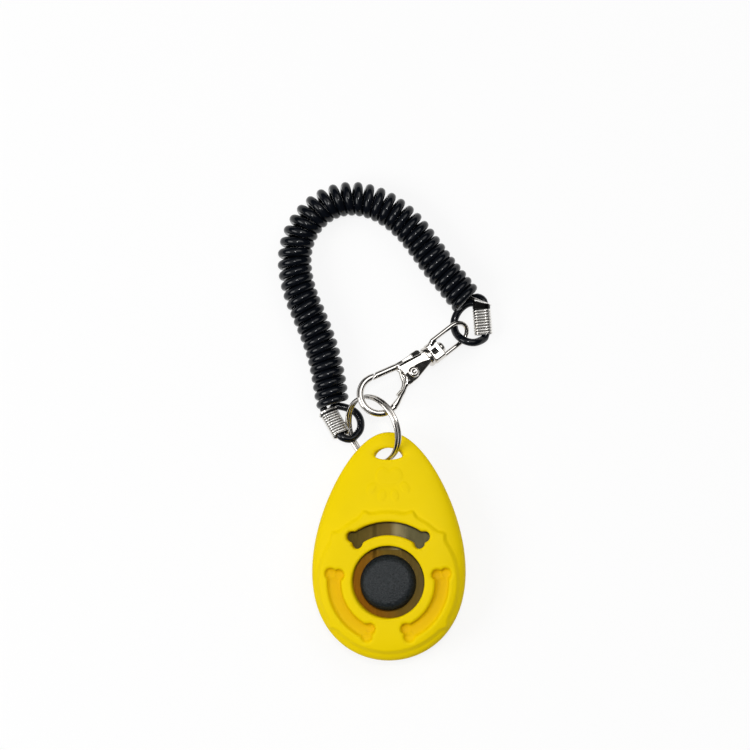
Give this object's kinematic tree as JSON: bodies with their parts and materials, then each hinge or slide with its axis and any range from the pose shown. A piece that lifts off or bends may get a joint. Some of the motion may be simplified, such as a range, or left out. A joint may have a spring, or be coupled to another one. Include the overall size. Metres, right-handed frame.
{
  "type": "clicker trainer",
  "caption": "Egg-shaped pet training clicker with a round push button, bone-shaped openings, and a coiled wrist cord on a split ring and swivel snap hook.",
  "frame": {"origin": "on the flat back of the case, under the middle of the button", "axes": "+X to the right, +Y from the button towards the cord tab, +Z out of the button"},
  "size_m": [0.0555, 0.1252, 0.0156],
  "materials": {
    "yellow_plastic": "satin",
    "black_plastic": "fine texture",
    "black_cord": "gloss",
    "nickel": "polished nickel plate",
    "steel": "zinc plate",
    "spring_steel": "rolled"
  },
  "bodies": {
    "case": {"front_cover": "yellow_plastic", "rear_cover": "yellow_plastic", "case_screw_1": "steel", "case_screw_2": "steel", "case_screw_3": "steel"},
    "button": {"button": "black_plastic"},
    "reed": {"click_reed": "spring_steel"},
    "ring": {"split_ring": "nickel"},
    "hook": {"hook_body": "nickel", "gate_rivet": "nickel", "gate_spring": "spring_steel", "swivel_rivet": "nickel", "cord_coil": "black_cord", "cord_loop_ring_end": "black_cord", "cord_loop_hook_end": "black_cord", "ferrule_ring_end": "nickel", "ferrule_hook_end": "nickel"},
    "gate": {"hook_gate": "nickel"},
    "eye": {"swivel_eye": "nickel"}
  },
  "joints": [
    {"name": "button_press", "type": "slide", "parent": "case", "child": "button", "axis": [0, 0, -1], "range_m": [0, 0.002], "stiffness_N_per_m": 2000, "springref_m": -0.0003},
    {"name": "reed_flex", "type": "hinge", "parent": "case", "child": "reed", "pos_m": [0, 0.0172, 0.009], "axis": [1, 0, 0], "range_deg": [0, 6.7]},
    {"name": "ring_swing", "type": "hinge", "parent": "case", "child": "ring", "pos_m": [0, 0.035, 0.0102], "axis": [1, 0, 0], "range_deg": [0, 55]},
    {"name": "hook_slide", "type": "hinge", "parent": "ring", "child": "hook", "pos_m": [-0.00413, 0.04022, 0.00855], "axis": [-0.6391, -0.2831, 0.7151], "range_deg": [-30, 0]},
    {"name": "gate_open", "type": "hinge", "parent": "hook", "child": "gate", "pos_m": [0.00623, 0.05488, 0.0091], "axis": [0.2412, 0.1932, 0.9511], "range_deg": [0, 25], "stiffness_Nm_per_rad": 0.05, "springref_deg": -8.59, "deforming": ["gate_spring"]},
    {"name": "eye_swivel", "type": "hinge", "parent": "hook", "child": "eye", "pos_m": [0.01243, 0.06105, 0.00627], "axis": [0.7422, 0.5946, -0.309], "range_deg": [-18, 35]}
  ],
  "couplings": [
    {"joint": "reed_flex", "follows": "button_press", "rad_per_m": 58.14}
  ]
}
